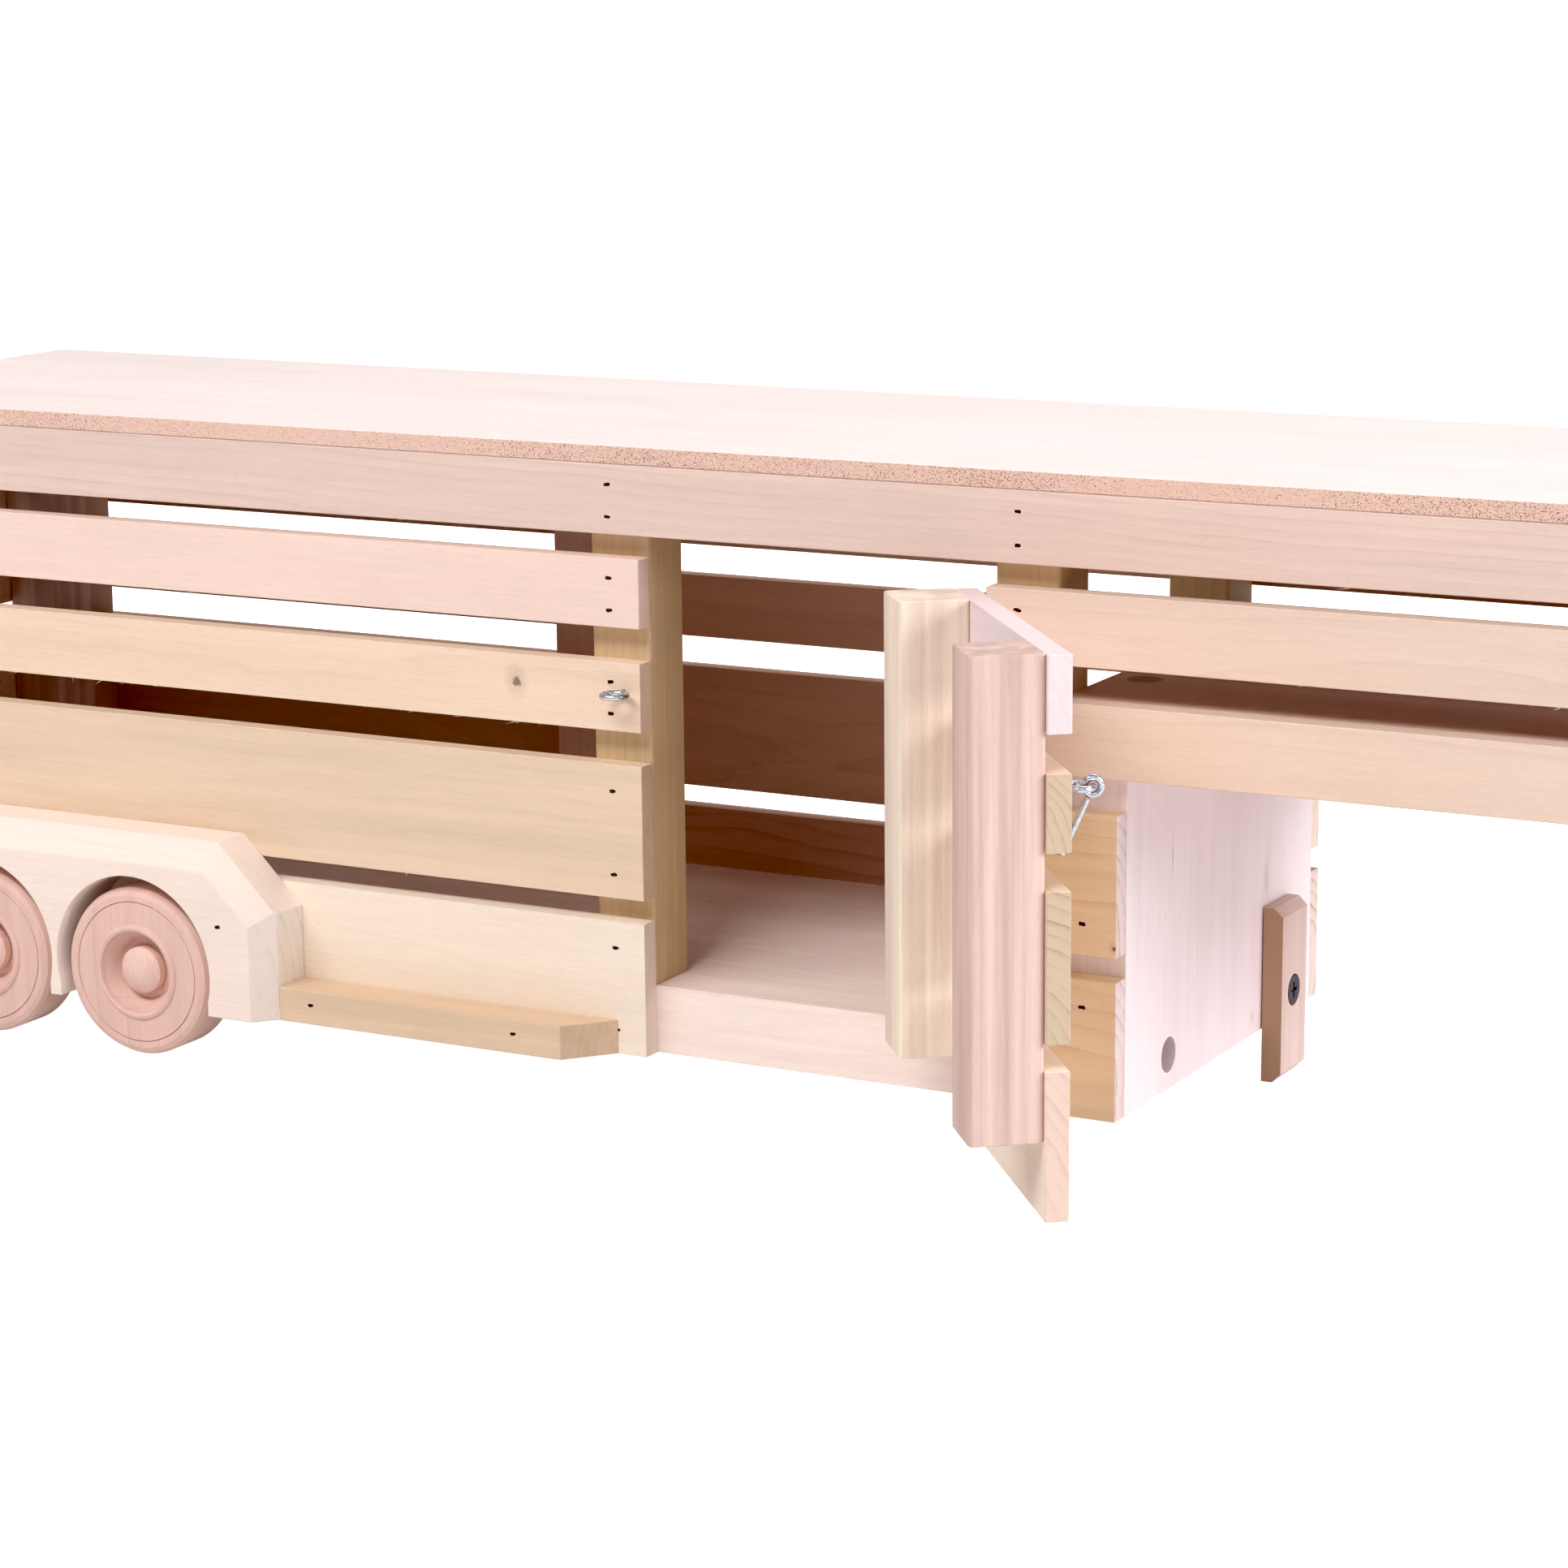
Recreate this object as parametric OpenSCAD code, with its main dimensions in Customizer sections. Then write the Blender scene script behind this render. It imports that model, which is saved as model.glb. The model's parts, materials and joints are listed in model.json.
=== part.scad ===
// Toy stock trailer in plain wood, with a side door, a rear gate and a turning stand.
// Units are millimetres. +X is the front, +Z is up and the ground is z = 0.
// The side with the door faces -Y. The origin is the middle of the overall box, on the ground.

/* [Body] */
// Length of the side walls, nose to tail
body_len = 618.4; // [500:0.2:760]
// Width over the outer faces of the two side walls
body_w = 148.4; // [110:0.2:190]
// Height of the underside of the floor above the ground
ride_h = 15.4; // [8:0.1:30]
// Height of the side walls, from the floor's underside to the roof sheet
wall_h = 168; // [130:0.5:200]
// Length of the raised nose in front of the bulkhead
nose_len = 165.1; // [100:0.1:220]

/* [Boards] */
// Thickness of the slats and rails
slat_t = 6.2; // [4:0.1:9]
// Height of the narrow slats and of the top rail
slat_narrow = 19.5; // [14:0.1:24]
// Height of the wide slat and of the bottom board
slat_wide = 38.6; // [30:0.1:46]
// Height of the wide slat's lower edge above the floor's underside
slat_3_z = 45.2; // [42:0.1:50]
// Height of the middle slat's lower edge above the floor's underside
slat_2_z = 93.3; // [88:0.1:98]
// Height of the top slat's lower edge above the floor's underside
slat_1_z = 122.5; // [117:0.1:127]
// Thickness of the floor, bulkhead and deck boards
board_t = 19.6; // [15:0.1:22]
// Thickness of the roof sheet
roof_t = 5.1; // [3:0.1:8]
// How far the roof sheet stops short of the far wall's outer face
roof_short = 4; // [0:0.5:8]
// Width and depth of the posts
post_w = 18.8; // [14:0.1:22]
// Radius of the posts' and battens' long edges
post_r = 1.2; // [0.5:0.1:3]
// Distance of the far middle post's front face behind the doorway's rear edge
mid_post_x = 84.2; // [40:0.1:150]

/* [Side door] */
// Clear width of the doorway between the slat ends
door_w = 105.7; // [80:0.1:130]
// Gap between the door's free end and the doorway's rear edge
door_latch_gap = 3.2; // [1:0.1:6]
// Angle the side door stands open at rest, from closed
door_open = 128.7; // [0:0.1:165]
// Width and depth of the door battens
batten_w = 19; // [14:0.1:22]
// Lower end of the door battens above the floor's underside
batten_z = 20.2; // [20:0.1:24]
// Length of the door battens
batten_h = 122; // [110:0.1:124]

/* [Hinges and hooks] */
// Gap between a door's hinge end and the wood it hangs on
hinge_gap = 1.6; // [1.2:0.1:2.4]
// Thickness of a hinge leaf
leaf_t = 0.6; // [0.4:0.1:0.7]
// Height of a hinge leaf
leaf_h = 16; // [10:0.5:20]
// Outer radius of a hinge knuckle
knuckle_r = 1.35; // [1:0.05:1.4]
// How far the hinge pin stands out from the wood's outer face
hinge_out = 1.2; // [1:0.1:2]
// Radius of the wire of the screw eyes and hooks
wire_r = 0.85; // [0.6:0.05:1.2]
// Radius of a screw eye's ring, to the middle of the wire
eye_r = 3.5; // [2.8:0.1:4.5]
// Distance of a ring's middle from the wood
eye_out = 5; // [4.6:0.1:6]
// Distance between a hook's pivot and its bent tip
hook_len = 18; // [14:0.1:24]
// Length of a hook's bent tip
hook_tip = 4.6; // [3:0.1:6]
// Angle by which a parked hook leans in, its tip between two slats
hook_lean = 25; // [0:1:30]
// Height of the eyes that carry the hooks above the floor's underside
hook_z = 106.7; // [104:0.1:109]
// How much lower the eyes that catch the hooks are
catch_drop = 2.2; // [2:0.1:4]

/* [Wheels and fenders] */
// Wheel diameter
wheel_d = 50.8; // [40:0.2:60]
// Wheel width
wheel_w = 17; // [12:0.1:18]
// Distance of the front wheels' axis behind the doorway's rear edge
wheel_x = 164.8; // [140:0.1:180]
// Distance between the front and rear wheels' axes
wheel_pitch = 58; // [57:0.5:66]
// Depth of a fender, out from the wall
fender_d = 19.5; // [18.8:0.1:24]
// Height of a fender's top above the floor's underside
fender_h = 51.7; // [48:0.1:60]
// Distance from the tandem's middle to a fender's front and rear ends
fender_half = 77.4; // [74:0.1:90]
// Height and length of a fender's sloping corners
fender_slope = 19.8; // [14:0.1:24]
// Width of the bevel along a fender's top, seen from the side
bevel_top = 8; // [3:0.1:9]
// Width of the bevel along a fender's sloping corners
bevel_slope = 6.6; // [3:0.1:9]
// Width of the bevel down a fender's ends
bevel_end = 6; // [3:0.1:9]
// Depth of the bevel along a fender's top
bevel_depth = 6.1; // [3:0.1:8]
// Radius of a wheel arch
arch_r = 28; // [27:0.1:30]
// Width of the running board
step_w = 13.4; // [10:0.1:18]
// Thickness of the running board
step_t = 10; // [8:0.1:12]

/* [Stand and hitch] */
// Length of the turning stand
leg_len = 51.6; // [40:0.2:60]
// Width of the turning stand
leg_w = 18.9; // [14:0.1:24]
// Thickness of the turning stand
leg_t = 6; // [5:0.1:8]
// Distance of the stand's screw in from the far wall's outer face
leg_in = 34.8; // [30:0.1:50]
// Diameter of the hitch peg
peg_d = 9.5; // [6:0.1:12]
// Length of the hitch peg below its block
peg_len = 22; // [12:0.5:30]

/* [Hidden] */
$fn = 64;

eps = 0.01;
clear = 0.3;
loop_r = 2.2;

// Body stations along X, measured from the doorway's rear edge
x_rear = -body_len / 2;
x_front = body_len / 2;
x_bulk = x_front - nose_len;
x_deck = x_bulk - board_t;
x_mid = -mid_post_x;
x_nose = x_front - slat_t;
y_in_far = body_w - slat_t;

// Heights above the ground
z0 = ride_h;
z_floor = z0 + board_t;
z_rail = z0 + wall_h - slat_narrow;
z_roof = z0 + wall_h;
z_deck = z0 + slat_2_z + slat_narrow;
levels = [0, slat_3_z, slat_2_z, slat_1_z];
heights = [slat_wide, slat_wide, slat_narrow, slat_narrow];

// Side door
pin_x = door_w - hinge_gap / 2;
pin_y = -hinge_out;
door_len = door_w - hinge_gap - door_latch_gap;
door_x1 = door_w - hinge_gap;
door_x0 = door_x1 - door_len;
door_eye_x = door_x0 + 13;
wall_eye_x = door_eye_x - eye_r - hook_len;
batten_inset = 1.1;

// Heights of the middles of a door's two hinges
hinge_z = [z0 + slat_3_z + slat_wide / 2, z0 + slat_1_z + slat_narrow / 2];

// Rear gate
gate_y0 = slat_t + post_w;
gate_pin_y = body_w - gate_y0 - hinge_gap / 2;
gate_eye_y = gate_y0 + door_latch_gap + 13;
post_eye_y = gate_eye_y - eye_r - hook_len;
gate_batten_h = slat_1_z + slat_narrow - board_t - 1;

// Wheels
axle_z = wheel_d / 2;
wheel_out = 18.5;
peg_shaft_r = 4;
wheel_bore_r = peg_shaft_r + 0.08;
tandem_x = -wheel_x - wheel_pitch / 2;
fender_edge = [
    [-fender_half, 0],
    [-fender_half, fender_h - fender_slope],
    [fender_slope - fender_half, fender_h],
    [fender_half - fender_slope, fender_h],
    [fender_half, fender_h - fender_slope],
    [fender_half, 0]
];
bevels = [
    [bevel_end, bevel_depth + 0.2],
    [bevel_slope, bevel_depth - 0.2],
    [bevel_top, bevel_depth],
    [bevel_slope, bevel_depth - 0.2],
    [bevel_end, bevel_depth + 0.2]
];

// Stand
leg_y = body_w - leg_in;
leg_z = leg_len / 2;
leg_x = x_bulk + 0.4;
screw_r = 2;
screw_head_r = 4.3;
cbore_y = 36.2;
cbore_z = z0 + 9.8;
cbore_r = 5;
cbore_depth = 5;
deck_screw_in = 40;
deck_screw_len = 34;

// Hitch
neck_x = x_front - 34;
hitch_w = 38;
z_hitch = z0 + slat_2_z - 31;
tenon_r = 3.5;
tenon_len = 15;

// Overall box: the open door's batten reaches furthest to the near side, the gate's hook to the rear
tip_x = door_x0 + batten_inset + post_r - pin_x;
tip_y = slat_t + batten_w - post_r - pin_y;
door_tip_y = pin_y + tip_x * sin(door_open) + tip_y * cos(door_open) - post_r;
box_x0 = x_rear - eye_out - eye_r - loop_r - wire_r;
mid_x = (box_x0 + x_front) / 2;
mid_y = (door_tip_y + body_w + fender_d) / 2;

poplar = [0.93, 0.82, 0.72];
pale = [0.96, 0.89, 0.85];
olive = [0.68, 0.57, 0.45];
zinc = [0.78, 0.79, 0.81];
black = [0.12, 0.12, 0.14];

// Moves body coordinates to the part's own frame.
module place() {
    translate([-mid_x, -mid_y, 0])
        children();
}

// A board from corner a to corner b.
module board(a, b) {
    translate(a)
        cube(b - a);
}

// A wall board at one of the four levels.
module wall_board(x0, x1, y, level) {
    board([x0, y, z0 + levels[level]], [x1, y + slat_t, z0 + levels[level] + heights[level]]);
}

// A rectangle with rounded corners, from the origin.
module round_rect(w, d, r) {
    translate([r, 0])
        square([w - 2 * r, d]);
    translate([0, r])
        square([w, d - 2 * r]);
    for (x = [r, w - r], y = [r, d - r])
        translate([x, y])
            circle(r, $fn = 32);
}

// An upright square post with rounded long edges.
module post(x, y, z, h) {
    translate([x, y, z])
        linear_extrude(h)
            round_rect(post_w, post_w, post_r);
}

// A full-height post that stands on the floor.
module floor_post(x, far) {
    post(x, far ? y_in_far - post_w : slat_t, z_floor, z_roof - z_floor);
}

// Puts children on both side walls, the second one mirrored.
module both_sides() {
    children();
    translate([0, body_w, 0])
        mirror([0, 1, 0])
            children();
}

// A screw eye's shank and ring, standing out along -Y from the origin.
module screw_eye(depth) {
    translate([0, -eye_out, 0])
        rotate_extrude()
            translate([eye_r, 0])
                circle(wire_r, $fn = 24);
    translate([0, depth, 0])
        rotate([90, 0, 0])
            cylinder(h = depth + eye_out - eye_r, r = wire_r, $fn = 24);
}

// A hook's closed loop round an eye's wire at the origin, seen edge-on from the front.
module hook_loop() {
    rotate([0, 90, 0])
        rotate_extrude()
            translate([loop_r, 0])
                circle(wire_r, $fn = 24);
}

// A hook's straight arm and bent tip, hung from the origin with the tip towards +Y.
module hook_arm() {
    start = loop_r + wire_r + clear;
    rotate([hook_lean, 0, 0])
        translate([0, 0, -hook_len]) {
            cylinder(h = hook_len - start, r = wire_r, $fn = 24);
            sphere(wire_r, $fn = 24);
            rotate([-90, 0, 0])
                cylinder(h = hook_tip, r = wire_r, $fn = 24);
        }
}

// The knuckles and leaf of one half of a butt hinge, pin at the origin and leaf along +Y.
// side is 1 for a leaf on the +X side of the gap and -1 for the other.
module hinge_half(side, outer, width) {
    third = leaf_h / 3;
    spans = outer ? [[-leaf_h / 2, third], [leaf_h / 2 - third, third]]
                  : [[-third / 2 + clear, third - 2 * clear]];
    for (s = spans)
        difference() {
            union() {
                translate([0, 0, s[0]])
                    cylinder(h = s[1], r = knuckle_r, $fn = 32);
                translate([side > 0 ? hinge_gap / 2 - leaf_t : -hinge_gap / 2, 0, s[0]])
                    cube([leaf_t, hinge_out + width, s[1]]);
            }
            if (!outer)
                translate([0, 0, s[0] - eps])
                    cylinder(h = s[1] + 2 * eps, r = 0.56, $fn = 32);
        }
    translate([side > 0 ? hinge_gap / 2 - leaf_t : -hinge_gap / 2, hinge_out + 0.4, -leaf_h / 2])
        cube([leaf_t, width - 0.4, leaf_h]);
    if (outer)
        translate([0, 0, -leaf_h / 2])
            cylinder(h = leaf_h, r = 0.5, $fn = 32);
}

// Turns children from the closed side door to where it stands open.
module door_turn() {
    translate([pin_x, pin_y, 0])
        rotate([0, 0, door_open])
            translate([-pin_x, -pin_y, 0])
                children();
}

// One slat of the side door.
module door_slat(level) {
    place()
        door_turn()
            difference() {
                wall_board(door_x0, door_x1, 0, level);
                if (level == 2)
                    translate([door_eye_x, -eps, z0 + hook_z])
                        rotate([-90, 0, 0])
                            cylinder(h = 5 + eps, r = wire_r, $fn = 24);
            }
}

// One batten of the side door, with its left side at x.
module door_batten(x) {
    place()
        door_turn()
            translate([x, slat_t, z0 + batten_z])
                linear_extrude(batten_h)
                    round_rect(batten_w, batten_w, post_r);
}

// Puts children, drawn for a wall that faces -Y, on the rear end that faces -X.
// Drawn x runs from the near side to the far side.
module rear_face() {
    translate([x_rear, 0, 0])
        mirror([0, 1, 0])
            rotate([0, 0, -90])
                children();
}

// A fender's outline from the side, with x from the tandem's middle and z from the floor.
module fender_outline() {
    difference() {
        polygon(fender_edge);
        for (s = [-1, 1])
            translate([s * wheel_pitch / 2, 0]) {
                translate([0, axle_z - z0 + 1.5])
                    circle(arch_r, $fn = 96);
                translate([-arch_r + 1, -eps])
                    square([2 * arch_r - 2, axle_z - z0 + eps]);
            }
    }
}

// Cuts a hand-planed bevel along the edge from a to b of a fender's outer face.
module bevel_cut(a, b, width, depth) {
    d = b - a;
    run = norm(d);
    translate([a[0], -fender_d, a[1]])
        rotate([0, -atan2(d[1], d[0]), 0])
            translate([-20, 0, -width])
                rotate([atan2(width, depth), 0, 0])
                    translate([0, -20, 0])
                        cube([run + 40, 40, 40]);
}

// The near fender, with its back on the wall.
module fender() {
    translate([tandem_x, 0, z0])
        difference() {
            rotate([90, 0, 0])
                linear_extrude(fender_d)
                    fender_outline();
            for (i = [0 : 4])
                bevel_cut(fender_edge[i], fender_edge[i + 1], bevels[i][0], bevels[i][1]);
        }
}

// A turned wheel on the Y axis: outer face at y = 0, inner face at y = wheel_w.
module wheel() {
    r = wheel_d / 2;
    rotate([-90, 0, 0])
        rotate_extrude($fn = 128)
            polygon([
                [wheel_bore_r, 6.5],
                [9.2, 6.5],
                [12.2, 1.6],
                [12.6, 0.3],
                [13.4, 0],
                [14.2, 0.3],
                [14.6, 0.9],
                [21.1, 0.9],
                [21.3, 1.4],
                [21.5, 0.9],
                [r - 2.2, 0.9],
                [r - 0.8, 1.5],
                [r, 3],
                [r, wheel_w - 1.5],
                [r - 1.5, wheel_w],
                [wheel_bore_r, wheel_w]
            ]);
}

// Places a wheel on the near side at distance x behind the doorway.
module near_wheel(x) {
    translate([-x, -wheel_out, axle_z])
        wheel();
}

// An axle peg on the near side: domed head, shaft through the wheel and into the floor.
module axle_peg(x) {
    head_r = 7;
    dome_r = 12;
    translate([-x, -wheel_out, axle_z])
        rotate([-90, 0, 0])
            union() {
                intersection() {
                    translate([0, 0, 1])
                        cylinder(h = 5, r = head_r);
                    translate([0, 0, dome_r + 1])
                        sphere(dome_r, $fn = 96);
                }
                translate([0, 0, 5])
                    cylinder(h = wheel_out + slat_t + 15, r = peg_shaft_r);
            }
}

// Holes for the axle pegs through whatever they are driven into.
module peg_holes() {
    both_sides()
        for (x = [wheel_x, wheel_x + wheel_pitch])
            translate([-x, -1, axle_z])
                rotate([-90, 0, 0])
                    cylinder(h = slat_t + 17, r = peg_shaft_r);
}

// A countersunk screw with a cross in its head: head's top at x = 0, shaft along -X.
module screw(length, head) {
    difference() {
        rotate([0, -90, 0])
            union() {
                cylinder(h = 0.6, r = head);
                translate([0, 0, 0.6])
                    cylinder(h = head - screw_r, r1 = head, r2 = screw_r);
                cylinder(h = length, r = screw_r);
            }
        for (a = [0, 90])
            rotate([a, 0, 0])
                translate([-1.4, -2.3, -0.45])
                    cube([2, 4.6, 0.9]);
    }
}

module floor_board() {
    color(pale)
        place()
            difference() {
                board([x_rear, slat_t, z0], [x_deck, y_in_far, z_floor]);
                board([0, 0, z0 - 1], [door_w, slat_t + clear, z_floor + 1]);
                peg_holes();
                screw_holes();
            }
}

// The holes of the two screws that go through the bulkhead into the floor's end.
module screw_holes() {
    for (p = [[cbore_y, cbore_z], [leg_y, leg_z]])
        translate([x_bulk - 44, p[0], p[1]])
            rotate([0, 90, 0])
                cylinder(h = 50, r = screw_r);
}

// A counterbore with a countersunk screw seat at its bottom, mouth at x = 0, into -X.
module counterbore() {
    rotate([0, -90, 0]) {
        translate([0, 0, -1])
            cylinder(h = cbore_depth + 1, r = cbore_r);
        cylinder(h = cbore_depth + 0.6, r = screw_head_r);
        translate([0, 0, cbore_depth + 0.6])
            cylinder(h = screw_head_r - screw_r, r1 = screw_head_r, r2 = screw_r);
    }
}

// Puts children at the tops of the two screws that hold the deck on the bulkhead, +X turned up.
module on_deck_screws() {
    for (y = [deck_screw_in, body_w - deck_screw_in])
        translate([x_bulk - board_t / 2, y, z_deck])
            rotate([0, -90, 0])
                children();
}

// The holes of the screws that hold the deck.
module deck_screw_holes() {
    on_deck_screws()
        rotate([0, -90, 0])
            cylinder(h = cbore_depth + deck_screw_len + 1, r = screw_r);
}

module bulkhead_board() {
    color(pale)
        place()
            difference() {
                board([x_deck, slat_t, z0], [x_bulk, y_in_far, z0 + slat_2_z]);
                screw_holes();
                deck_screw_holes();
                translate([x_bulk, cbore_y, cbore_z])
                    counterbore();
            }
}

module deck_board() {
    color(pale)
        place()
            difference() {
                board([x_deck, slat_t, z0 + slat_2_z], [x_nose, y_in_far, z_deck]);
                deck_screw_holes();
                on_deck_screws()
                    counterbore();
            }
}

module roof_sheet() {
    color(pale)
        place()
            board([x_rear, 0, z_roof], [x_front, body_w - roof_short, z_roof + roof_t]);
}

module rear_header() {
    color(poplar)
        place()
            board([x_rear, gate_y0, z_rail], [x_rear + slat_t, body_w - gate_y0, z_roof]);
}

module near_rail() {
    color(poplar)
        place()
            board([x_rear, 0, z_rail], [x_front, slat_t, z_roof]);
}

module near_slat_top() {
    color(poplar)
        place()
            wall_board(x_rear, 0, 0, 3);
}

module near_slat_middle() {
    color(poplar)
        place()
            difference() {
                wall_board(x_rear, 0, 0, 2);
                translate([wall_eye_x, -eps, z0 + hook_z - catch_drop])
                    rotate([-90, 0, 0])
                        cylinder(h = 5 + eps, r = wire_r, $fn = 24);
            }
}

module near_slat_wide() {
    color(poplar)
        place()
            wall_board(x_rear, 0, 0, 1);
}

module near_board_bottom() {
    color(poplar)
        place()
            difference() {
                wall_board(x_rear, 0, 0, 0);
                peg_holes();
            }
}

module nose_slat_top() {
    color(poplar)
        place()
            wall_board(door_w, x_front, 0, 3);
}

module nose_slat_middle() {
    color(poplar)
        place()
            wall_board(door_w, x_front, 0, 2);
}

module short_slat_wide() {
    color(poplar)
        place()
            wall_board(door_w, x_bulk, 0, 1);
}

module short_board_bottom() {
    color(poplar)
        place()
            wall_board(door_w, x_bulk, 0, 0);
}

module far_rail() {
    color(poplar)
        place()
            board([x_rear, y_in_far, z_rail], [x_front, body_w, z_roof]);
}

module far_slat_top() {
    color(poplar)
        place()
            wall_board(x_rear, x_front, y_in_far, 3);
}

module far_slat_middle() {
    color(poplar)
        place()
            wall_board(x_rear, x_front, y_in_far, 2);
}

module far_slat_wide() {
    color(poplar)
        place()
            wall_board(x_rear, x_bulk, y_in_far, 1);
}

module far_board_bottom() {
    color(poplar)
        place()
            difference() {
                wall_board(x_rear, x_bulk, y_in_far, 0);
                peg_holes();
            }
}

// The near rear post, with a hole for the rear gate's eye.
module post_near_rear() {
    color(olive)
        place()
            difference() {
                floor_post(x_rear, false);
                rear_face()
                    translate([post_eye_y, -eps, z0 + hook_z - catch_drop])
                        rotate([-90, 0, 0])
                            cylinder(h = 8 + eps, r = wire_r, $fn = 24);
            }
}

module post_door_rear() {
    color(olive)
        place()
            floor_post(-post_w, false);
}

module post_door_front() {
    color(olive)
        place()
            floor_post(door_w, false);
}

module post_far_rear() {
    color(olive)
        place()
            floor_post(x_rear, true);
}

module post_far_middle() {
    color(olive)
        place()
            floor_post(x_mid - post_w, true);
}

module post_far_front() {
    color(olive)
        place()
            floor_post(door_w, true);
}

module posts_nose() {
    color(olive)
        place()
            for (y = [slat_t, y_in_far - post_w])
                post(x_nose - post_w, y, z_deck, z_roof - z_deck);
}

module nose_rail() {
    color(poplar)
        place()
            board([x_nose, slat_t, z_rail], [x_front, y_in_far, z_roof]);
}

module nose_cross_slats() {
    color(poplar)
        place()
            for (level = [2, 3])
                board([x_nose, slat_t, z0 + levels[level]],
                      [x_front, y_in_far, z0 + levels[level] + heights[level]]);
}

module fender_near() {
    color(pale)
        place()
            fender();
}

module fender_far() {
    color(pale)
        place()
            translate([0, body_w, 0])
                mirror([0, 1, 0])
                    fender();
}

module running_boards() {
    color(poplar)
        place()
            both_sides()
                translate([0, 0, z0])
                    linear_extrude(step_t)
                        polygon([
                            [tandem_x + fender_half, 0],
                            [tandem_x + fender_half, -step_w],
                            [-20.4, -step_w],
                            [-9, 0]
                        ]);
}

module axle_pegs() {
    color(poplar)
        place()
            both_sides()
                for (x = [wheel_x, wheel_x + wheel_pitch])
                    axle_peg(x);
}

module wheel_near_front() {
    color(poplar)
        place()
            near_wheel(wheel_x);
}

module wheel_near_rear() {
    color(poplar)
        place()
            near_wheel(wheel_x + wheel_pitch);
}

module wheel_far_front() {
    color(poplar)
        place()
            translate([0, body_w, 0])
                mirror([0, 1, 0])
                    near_wheel(wheel_x);
}

module wheel_far_rear() {
    color(poplar)
        place()
            translate([0, body_w, 0])
                mirror([0, 1, 0])
                    near_wheel(wheel_x + wheel_pitch);
}

module door_batten_hinge() {
    color(pale)
        door_batten(door_x1 - batten_w);
}

module door_batten_free() {
    color(pale)
        door_batten(door_x0 + batten_inset);
}

module door_slat_top() {
    color(poplar)
        door_slat(3);
}

module door_slat_middle() {
    color(poplar)
        door_slat(2);
}

module door_slat_wide() {
    color(poplar)
        door_slat(1);
}

module door_board_bottom() {
    color(poplar)
        door_slat(0);
}

module door_hinge_leaves() {
    color(zinc)
        place()
            door_turn()
                for (z = hinge_z)
                    translate([pin_x, pin_y, z])
                        hinge_half(-1, false, 14);
}

module door_eye() {
    color(zinc)
        place()
            door_turn()
                translate([door_eye_x, 0, z0 + hook_z])
                    screw_eye(5);
}

module door_hook_loop() {
    color(zinc)
        place()
            door_turn()
                translate([door_eye_x, -eye_out - eye_r, z0 + hook_z])
                    hook_loop();
}

module door_hook_arm() {
    color(zinc)
        place()
            door_turn()
                translate([door_eye_x, -eye_out - eye_r, z0 + hook_z])
                    hook_arm();
}

module gate_battens() {
    color(pale)
        place()
            for (y = [gate_pin_y - hinge_gap / 2 - batten_w, gate_y0 + door_latch_gap + batten_inset])
                translate([x_rear + slat_t, y, z_floor + 1])
                    linear_extrude(gate_batten_h)
                        round_rect(batten_w, batten_w, post_r);
}

module gate_slats() {
    color(poplar)
        place()
            for (level = [0 : 3]) {
                low = z0 + max(levels[level], board_t + 1);
                difference() {
                    board([x_rear, gate_y0 + door_latch_gap, low],
                          [x_rear + slat_t, gate_pin_y - hinge_gap / 2,
                           z0 + levels[level] + heights[level]]);
                    if (level == 2)
                        rear_face()
                            translate([gate_eye_y, -eps, z0 + hook_z])
                                rotate([-90, 0, 0])
                                    cylinder(h = 5 + eps, r = wire_r, $fn = 24);
                }
            }
}

module gate_hinge_leaves() {
    color(zinc)
        place()
            rear_face()
                for (z = hinge_z)
                    translate([gate_pin_y, -hinge_out, z])
                        hinge_half(-1, false, 14);
}

module gate_eye() {
    color(zinc)
        place()
            rear_face()
                translate([gate_eye_y, 0, z0 + hook_z])
                    screw_eye(5);
}

module gate_hook_loop() {
    color(zinc)
        place()
            rear_face()
                translate([gate_eye_y, -eye_out - eye_r, z0 + hook_z])
                    hook_loop();
}

module gate_hook_arm() {
    color(zinc)
        place()
            rear_face()
                translate([gate_eye_y, -eye_out - eye_r, z0 + hook_z])
                    hook_arm();
}

module fixed_hinge_leaves() {
    color(zinc)
        place() {
            for (z = hinge_z)
                translate([pin_x, pin_y, z])
                    hinge_half(1, true, 14);
            rear_face()
                for (z = hinge_z)
                    translate([gate_pin_y, -hinge_out, z])
                        hinge_half(1, true, 14);
        }
}

module wall_eyes() {
    color(zinc)
        place() {
            translate([wall_eye_x, 0, z0 + hook_z - catch_drop])
                screw_eye(5);
            rear_face()
                translate([post_eye_y, 0, z0 + hook_z - catch_drop])
                    screw_eye(8);
        }
}

module stand_bar() {
    bevel = 2.6;
    color(poplar)
        place()
            translate([leg_x, leg_y, leg_z])
                difference() {
                    translate([0, -leg_w / 2, -leg_len / 2])
                        cube([leg_t, leg_w, leg_len]);
                    for (s = [0, 180])
                        rotate([s, 0, 0])
                            translate([leg_t, 0, leg_len / 2 - bevel])
                                rotate([0, -45, 0])
                                    translate([0, -leg_w, 0])
                                        cube([bevel * 2, leg_w * 2, bevel * 2]);
                    translate([-1, 0, 0])
                        rotate([0, 90, 0])
                            cylinder(h = leg_t + 2, r = screw_r + 0.08);
                    translate([leg_t - screw_head_r + screw_r - 0.9, 0, 0])
                        rotate([0, 90, 0])
                            cylinder(h = screw_head_r - screw_r + 0.3, r1 = screw_r + 0.08,
                                     r2 = screw_head_r + 0.38);
                    translate([leg_t - 0.6 - eps, 0, 0])
                        rotate([0, 90, 0])
                            cylinder(h = 1, r = screw_head_r + 0.38);
                }
}

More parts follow.
